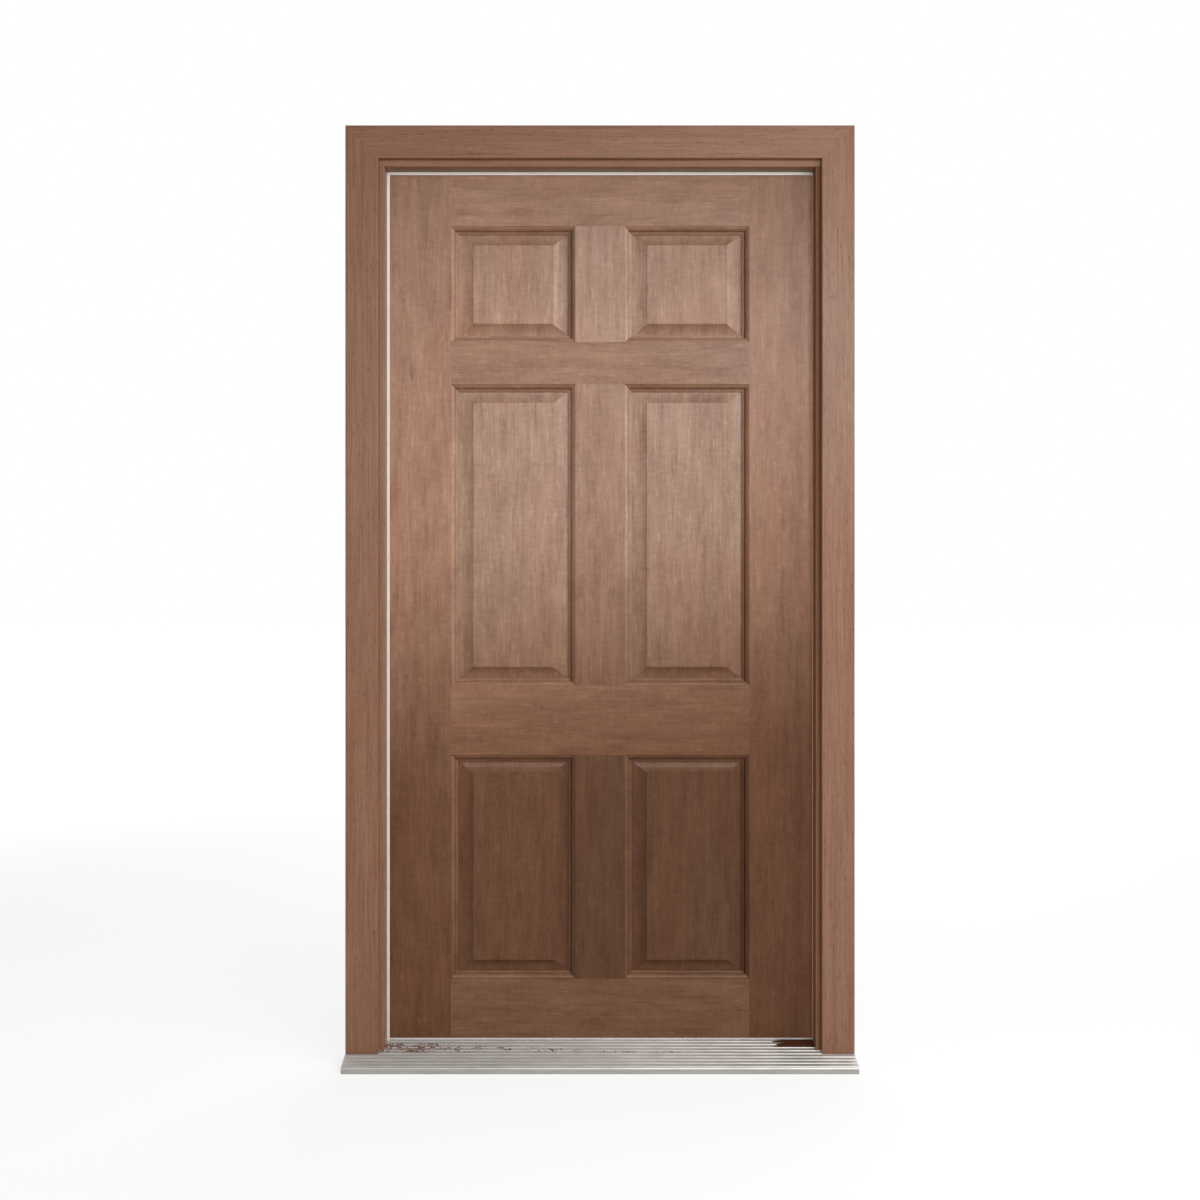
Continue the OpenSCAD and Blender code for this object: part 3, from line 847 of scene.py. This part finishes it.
@dataclass(frozen=True)
class Rubber:
    """A matt skin of rubber or paint, with a dusty bloom and a faint drag along its length."""

    colour: Rgb
    dust: Rgb
    roughness: float = 0.62
    drag_rough: float = 0.12
    lip_shade: Rgb = (0.48, 0.33, 0.25)
    lip_shade_edge: float = 0.0005
    lip_shade_swing: float = 0.0006
    bloom_marks: Marks = Marks(45, 300, 45, 3.0, 0.6)
    bloom_cut: Span = (0.42, 0.8)
    drag_marks: Marks = Marks(260, 700, 260)
    sheen_level: float = 0.3
    bump_depth: float = 0.0001
    bump_strength: float = 0.15

    def material(self, name: str, shaded_until: Optional[float] = None) -> bpy.types.Material:
        """Makes the finish.

        Args:
            name: The material's name.
            shaded_until: Where a seal starts to show its own colour; to the left of it its lip is painted
                brown as shade.

        Returns:
            The material.
        """
        material, graph = new_material(name)
        place = graph.place()
        bloom = self.bloom_marks.over(graph, place.x, place.y, place.z)
        drag = self.drag_marks.over(graph, place.x, place.y, place.z)
        colour = graph.blend(self.colour, self.dust, bloom.rise(*self.bloom_cut))
        if shaded_until:
            line = place.x + self.lip_shade_swing * (bloom - 0.5)
            colour = colour.over(self.lip_shade, 1 - line.rise(shaded_until - self.lip_shade_edge, shaded_until))
        graph.surface({
            "Base Color": colour,
            "Roughness": self.roughness + self.drag_rough * (drag - 0.5),
            "Specular IOR Level": self.sheen_level,
            "Normal": graph.bump(drag, self.bump_depth, self.bump_strength),
        })
        return material


@dataclass(frozen=True)
class Steel:
    """Satin steel, brushed one way, with duller patches."""

    colour: Rgb
    dull: Rgb
    roughness: float = 0.32
    brush_rough: float = 0.16
    brush_shade: float = 0.14
    patch_rough: float = 0.08
    brush_marks: Marks = Marks(2200, 2200, 60, 2.0, 0.6)
    patch_marks: Marks = Marks(90, 90, 60, cut=(0.4, 0.75))
    bump_depth: float = 0.0001
    bump_strength: float = 0.2

    def material(self, name: str) -> bpy.types.Material:
        """Makes the finish.

        Args:
            name: The material's name.

        Returns:
            The material.
        """
        material, graph = new_material(name)
        place = graph.place()
        brushed = self.brush_marks.over(graph, place.x, place.y, place.z) - 0.5
        patch = self.patch_marks.over(graph, place.x, place.y, place.z)
        shade = 1 + self.brush_shade * brushed
        graph.surface({
            "Base Color": graph.blend(self.colour, self.dull, patch).shaded(shade),
            "Metallic": 1.0,
            "Roughness": self.roughness + self.brush_rough * brushed + self.patch_rough * patch,
            "Normal": graph.bump(brushed, self.bump_depth, self.bump_strength),
        })
        return material


# The leaf's stain is painted shade: darker towards the bottom, towards the right and near the top.
LEAF_TIMBER = Timber(
    pale=(0.299, 0.162, 0.104), deep=(0.127, 0.0545, 0.0257), blush=(1.0, 0.955, 0.93),
    tone=PaintedGradient(foot=0.6, crown=1.32, lean=0.13, balance=0.26, cap_depth=0.26),
)
FRAME_TIMBER = Timber(
    pale=(0.21, 0.1, 0.057), deep=(0.247, 0.1245, 0.076), blush=(1.0, 0.96, 0.935),
    tone=PaintedGradient(foot=1.2, crown=2.1, balance=-0.03),
    wave=0.007, ribbon=0.3, mottle=0.15, lines=0.8, fiddle=0.1, flecks=0.08, dashes=0.06, pores=0.3,
    ribbon_marks=Marks(1 / 0.011, 25, 1 / 0.45, 4.0, 0.55),
    line_marks=Marks(1 / 0.0032, 160, 1 / 0.16, 2.0, 0.6),
    pore_marks=Marks(1 / 0.0021, 900, 60, 1.0, cut=(0.6, 0.74)),
)
# The hinge jamb's darker stain is painted shadow of the casing; it also gets darker up its height.
SHADOWED_JAMB_TIMBER = replace(
    FRAME_TIMBER, pale=(0.165, 0.07, 0.036), deep=(0.245, 0.12, 0.07), sheen_level=0.04,
    tone=PaintedGradient(foot=0.0, crown=1.7),
)
DOWEL_TIMBER = Timber(
    pale=linear(196, 164, 132), deep=linear(180, 148, 116), blush=(1.0, 0.97, 0.94),
    tone=PaintedGradient(foot=0.0, crown=2.0),
)
SILL_METAL = Aluminium(
    colour=linear(196, 193, 188), dull=linear(180, 176, 170),
    specks=linear(120, 88, 74), stain=linear(66, 28, 8),
)
SEAL_RUBBER = Rubber(colour=linear(230, 226, 220), dust=linear(220, 215, 208))
FOOT_RUBBER = Rubber(colour=linear(246, 243, 239), dust=linear(238, 234, 228))
HINGE_STEEL = Steel(colour=linear(172, 169, 164), dull=linear(142, 139, 133))
PIN_PAINT = Rubber(colour=linear(128, 95, 78), dust=linear(112, 82, 66), roughness=0.55)


def dress(node: str, material: bpy.types.Material) -> None:
    """Gives a node of the model one finish.

    Args:
        node: The node's name.
        material: Its material.
    """
    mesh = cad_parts[node].data
    mesh.materials.clear()
    mesh.materials.append(material)
    log.info("dressed %s in %s", node, material.name)


@dataclass
class Leaf:
    """The hinged leaf: framing, mouldings and raised panels."""

    # Each board's painted shading: what its shaped edges lose as painted shade and gain as painted
    # highlight.
    boards: Sequence[Board] = (
        Board("lock_stile", Grain.UPRIGHT, lift=0.98, fade=PaintedShading(0.34, 0.34, 0.42, 0.42, dimming=1.15)),
        # The hinge stile's right strip is a painted highlight that lifts the shadow the jamb casts on it.
        Board(
            "hinge_stile", Grain.UPRIGHT, tint=(1.0, 0.965, 0.935), fade=PaintedShading(0.47, 0.47, 0.08, 0.08),
            edge=PaintedStrip(0.8, 0.463, 0.499),
        ),
        Board("top_rail", Grain.LEVEL, lift=1.03),
        Board("frieze_rail", Grain.LEVEL, lift=0.88),
        Board("lock_rail", Grain.LEVEL, lift=1.15),
        Board("bottom_rail", Grain.LEVEL, lift=1.3, tint=(1.0, 1.14, 1.26)),
        Board("top_muntin", Grain.UPRIGHT, lift=1.19, painted_sheen=1.0, fade=PaintedShading(0.68, 0.68, 0.18, 0.18)),
        Board("middle_muntin", Grain.UPRIGHT, painted_sheen=0.6, fade=PaintedShading(0.28, 0.28, 0.22, 0.22)),
        Board("bottom_muntin", Grain.UPRIGHT, lift=0.8, fade=PaintedShading(0.1, 0.1, 0.52, 0.52)),
        Board(
            "top_left_panel", Grain.UPRIGHT, lift=1.12, painted_sheen=0.5, raised=True,
            fade=PaintedShading(-0.08, 0.3, 0.38, -0.06, brim=-0.5),
        ),
        Board(
            "top_right_panel", Grain.UPRIGHT, lift=1.14, painted_sheen=0.5, raised=True,
            fade=PaintedShading(-0.28, 0.3, 0.38, -0.06, brim=-0.5),
        ),
        Board(
            "middle_left_panel", Grain.UPRIGHT, lift=1.08, painted_sheen=1.0, raised=True,
            fade=PaintedShading(0.02, 0.32, 0.0, -0.06, brim=0.1),
        ),
        Board(
            "middle_right_panel", Grain.UPRIGHT, lift=1.09, painted_sheen=1.0, raised=True,
            fade=PaintedShading(0.02, 0.32, 0.01, -0.06, brim=0.1),
        ),
        Board(
            "bottom_left_panel", Grain.UPRIGHT, lift=0.94, raised=True,
            fade=PaintedShading(0.06, 0.08, 0.02, 0.2, brim=-0.35),
        ),
        Board(
            "bottom_right_panel", Grain.UPRIGHT, lift=0.86, raised=True,
            fade=PaintedShading(0.24, 0.08, 0.12, 0.25, brim=-0.25),
        ),
    )
    first_number: int = 1
    dowels: Board = Board("leaf_dowels", Grain.LEVEL)
    dowels_number: int = 30
    framing_shading: PaintedShading = PaintedShading(0.34, 0.34, 0.08, 0.08)
    framing_inner: float = 0.53
    moulding: float = 0.0165
    side_bevel: float = 0.0465
    end_bevel: float = 0.0375

    def relief(self, board: Board) -> Relief:
        """Finds the shaped edges of a board: all round a raised panel, along the grain on the framing.

        Args:
            board: The board.

        Returns:
            Those edges and their painted shade and highlight.
        """
        low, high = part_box(board.node)
        fade = board.fade or self.framing_shading
        if board.raised:
            return Relief(low, high, self.side_bevel, self.end_bevel, brink=0.0, inner=1.0, fade=fade)
        level = board.grain is Grain.LEVEL
        side, end = (0.0, self.moulding) if level else (self.moulding, 0.0)
        return Relief(low, high, side, end, brink=1.0, inner=self.framing_inner, fade=fade)

    def build(self) -> None:
        """Dresses every board of the leaf and the dowels that join them."""
        for number, board in enumerate(self.boards, self.first_number):
            dress(board.node, LEAF_TIMBER.material(board, number, self.relief(board)))
        dress(self.dowels.node, DOWEL_TIMBER.material(self.dowels, self.dowels_number))


@dataclass
class DoorFrame:
    """The rebated frame with its casing and pins."""

    boards: Sequence[Board] = (
        # Painted highlights along the lock jamb's and left casing's inner edges; painted light on the head
        # casing, brighter and bluer towards the right.
        Board("lock_jamb", Grain.UPRIGHT, edge=PaintedStrip(0.3, -0.5015, -0.4992)),
        Board("head_jamb", Grain.LEVEL),
        Board("left_casing", Grain.UPRIGHT, lift=0.98, edge=PaintedStrip(0.5, -0.5125, -0.5095)),
        Board("right_casing", Grain.UPRIGHT, lift=0.955, tint=(1.0, 1.04, 1.08)),
        Board("head_casing", Grain.LEVEL, lift=0.93, edge=PaintedStrip(0.09, -0.3, 0.3, tint=(1.0, 1.09, 1.18))),
    )
    first_number: int = 40
    # The hinge jamb's strip beside the casing is painted shade, darkest against the casing.
    hinge_side: Board = Board("hinge_jamb", Grain.UPRIGHT, edge=PaintedStrip(-0.4, 0.5, 0.511))
    hinge_number: int = 50

    def build(self) -> None:
        """Dresses the frame's timbers and the casing's pins."""
        for number, board in enumerate(self.boards, self.first_number):
            dress(board.node, FRAME_TIMBER.material(board, number))
        dress(self.hinge_side.node, SHADOWED_JAMB_TIMBER.material(self.hinge_side, self.hinge_number))
        dress("casing_pins", PIN_PAINT.material("pin_paint"))


@dataclass
class Weathering:
    """The sill and the seals that keep the weather out."""

    seals: Sequence[str] = ("lock_side_seal", "head_seal")
    nose_z: float = 0.0145
    lip: float = 0.0023

    def build(self) -> None:
        """Dresses the sill and the seals."""
        _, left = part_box("lock_side_seal")
        right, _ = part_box("hinge_side_seal")
        leaf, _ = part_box("lock_stile")
        nose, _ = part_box("sill")
        deck = Deck(nose.y, self.nose_z, leaf.y, left.x, right.x)
        dress("sill", SILL_METAL.material("sill_metal", deck))
        for seal in self.seals:
            dress(seal, SEAL_RUBBER.material(f"{seal}_rubber"))
        # The hinge side seal's lip is painted brown as shade.
        dress("hinge_side_seal", SEAL_RUBBER.material("hinge_side_seal_rubber", right.x + self.lip))
        dress("threshold_seal", FOOT_RUBBER.material("threshold_seal_rubber"))


@dataclass
class Hinges:
    """Three butt hinges and all the steel screws of the door."""

    places: Sequence[str] = ("top", "middle", "bottom")
    parts: Sequence[str] = ("leaf_plate", "frame_plate", "pin")
    screws: Sequence[str] = ("leaf_hinge_screws", "frame_hinge_screws", "corner_screws", "sill_screws")

    def build(self) -> None:
        """Dresses plates, pins and screws in steel."""
        plates = HINGE_STEEL.material("hinge_steel")
        for place in self.places:
            for part in self.parts:
                dress(f"{place}_hinge_{part}", plates)
        screw = HINGE_STEEL.material("screw_steel")
        for node in self.screws:
            dress(node, screw)


@dataclass(frozen=True)
class Lamp:
    """A soft rectangular lamp: where it hangs, its width and height, and its power in watts."""

    name: str
    place: Xyz
    size: Span
    power: float

    def hang(self, aim: Xyz) -> None:
        """Hangs the lamp so that it points at a place.

        Args:
            aim: The place.
        """
        light = bpy.data.lights.new(self.name, "AREA")
        light.shape = "RECTANGLE"
        light.size, light.size_y = self.size
        light.energy = self.power
        lamp = bpy.data.objects.new(self.name, light)
        lamp.location = self.place
        lamp.rotation_euler = (Vector(aim) - Vector(self.place)).to_track_quat("-Z", "Y").to_euler()
        bpy.context.scene.collection.objects.link(lamp)


@dataclass
class Studio:
    """The pale floor, the white surround, the lamps and the camera."""

    floor_half: float = 60.0
    floor_share: float = 0.32
    floor_glow: float = 1.13
    floor_dark: Rgb = (0.86, 0.86, 0.85)
    floor_light: Rgb = (0.9, 0.9, 0.89)
    floor_marks: Marks = Marks(40, 40, 0)
    near_radius: float = 2.0
    far_radius: float = 6.0
    white: Rgb = (1.0, 1.0, 1.0)
    surround: float = 0.3
    lamps: Sequence[Lamp] = (
        Lamp("key_lamp", (1.8, -2.4, 2.2), (2.8, 0.8), 60.0),
        Lamp("fill_lamp", (0.2, -4.6, 2.4), (3.2, 1.6), 72.0),
        Lamp("back_lamp", (0.8, 3.8, 2.4), (3.0, 1.6), 75.0),
    )
    aim: Xyz = (0.0, 0.0, 1.25)
    camera_distance: float = 3.5
    camera_height: float = 1.0735
    sensor: float = 36.0
    image_px: float = 1200.0
    focal_px: float = 1519.6

    def seen(self, graph: Graph) -> Field:
        """Gives a mask of the rays that reach the eye.

        Args:
            graph: The graph of a material or of the world.

        Returns:
            A field that is 1 for rays from the camera and for those mirrored or passed on to it.
        """
        ray = graph.add("ShaderNodeLightPath", {}, {})
        names = ("Is Camera Ray", "Is Glossy Ray", "Is Transmission Ray")
        camera, glossy, passed = (Field(graph, ray.outputs[name]) for name in names)
        return graph.maths("MAXIMUM", graph.maths("MAXIMUM", camera, glossy), passed)

    def light_surround(self) -> None:
        """Makes the world white to the eye and softer as a light."""
        world = bpy.data.worlds.new("surround")
        world.use_nodes = True
        bpy.context.scene.world = world
        graph = Graph(world.node_tree)
        level = self.surround + (1 - self.surround) * self.seen(graph)
        sky = graph.add("ShaderNodeBackground", {}, {"Color": self.white, "Strength": level})
        graph.add("ShaderNodeOutputWorld", {}, {"Surface": sky.outputs[0]})

    def floor_paint(self) -> bpy.types.Material:
        """Makes a paint that glows white to the eye and takes a soft shadow near the door.

        Returns:
            The material.
        """
        material, graph = new_material("floor_paint")
        place = graph.place()
        grit = self.floor_marks.over(graph, place.x, place.y, 0.0)
        colour = graph.blend(self.floor_dark, self.floor_light, grit)
        paint = graph.add("ShaderNodeBsdfDiffuse", {}, {"Color": colour})
        glow = graph.add("ShaderNodeEmission", {}, {"Color": self.white, "Strength": self.floor_glow})
        radius = place.x * place.x + place.y * place.y
        near = 1 - radius.rise(self.near_radius ** 2, self.far_radius ** 2)
        cover = (1 - self.floor_share * near) * self.seen(graph)
        mixed = graph.add("ShaderNodeMixShader", {}, {0: cover, 1: paint.outputs[0], 2: glow.outputs[0]})
        graph.add("ShaderNodeOutputMaterial", {}, {"Surface": mixed.outputs[0]})
        return material

    def lay_floor(self) -> None:
        """Lays a wide pale floor under the door."""
        mesh = bpy.data.meshes.new("floor")
        shape = bmesh.new()
        bmesh.ops.create_grid(shape, x_segments=1, y_segments=1, size=self.floor_half)
        shape.to_mesh(mesh)
        shape.free()
        floor = bpy.data.objects.new("floor", mesh)
        bpy.context.scene.collection.objects.link(floor)
        mesh.materials.append(self.floor_paint())

    def set_camera(self) -> None:
        """Sets the camera square to the door, as the photograph was taken."""
        lens = bpy.data.cameras.new("camera")
        lens.sensor_width = self.sensor
        lens.lens = self.sensor * self.focal_px / self.image_px
        camera = bpy.data.objects.new("camera", lens)
        face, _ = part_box("head_casing")
        camera.location = (0.0, face.y - self.camera_distance, self.camera_height)
        camera.rotation_euler = (math.radians(90), 0.0, 0.0)
        bpy.context.scene.collection.objects.link(camera)
        bpy.context.scene.camera = camera

    def build(self) -> None:
        """Sets the whole studio up."""
        bpy.context.scene.view_settings.view_transform = "Standard"
        self.light_surround()
        self.lay_floor()
        for lamp in self.lamps:
            lamp.hang(self.aim)
        self.set_camera()
        log.info("studio ready")


def main() -> None:
    """Builds the studio and dresses the door, part by part."""
    logging.basicConfig(level=logging.INFO, format="%(name)s: %(message)s")
    for part in (Studio(), DoorFrame(), Leaf(), Weathering(), Hinges()):
        part.build()


if __name__ == "__main__":
    main()
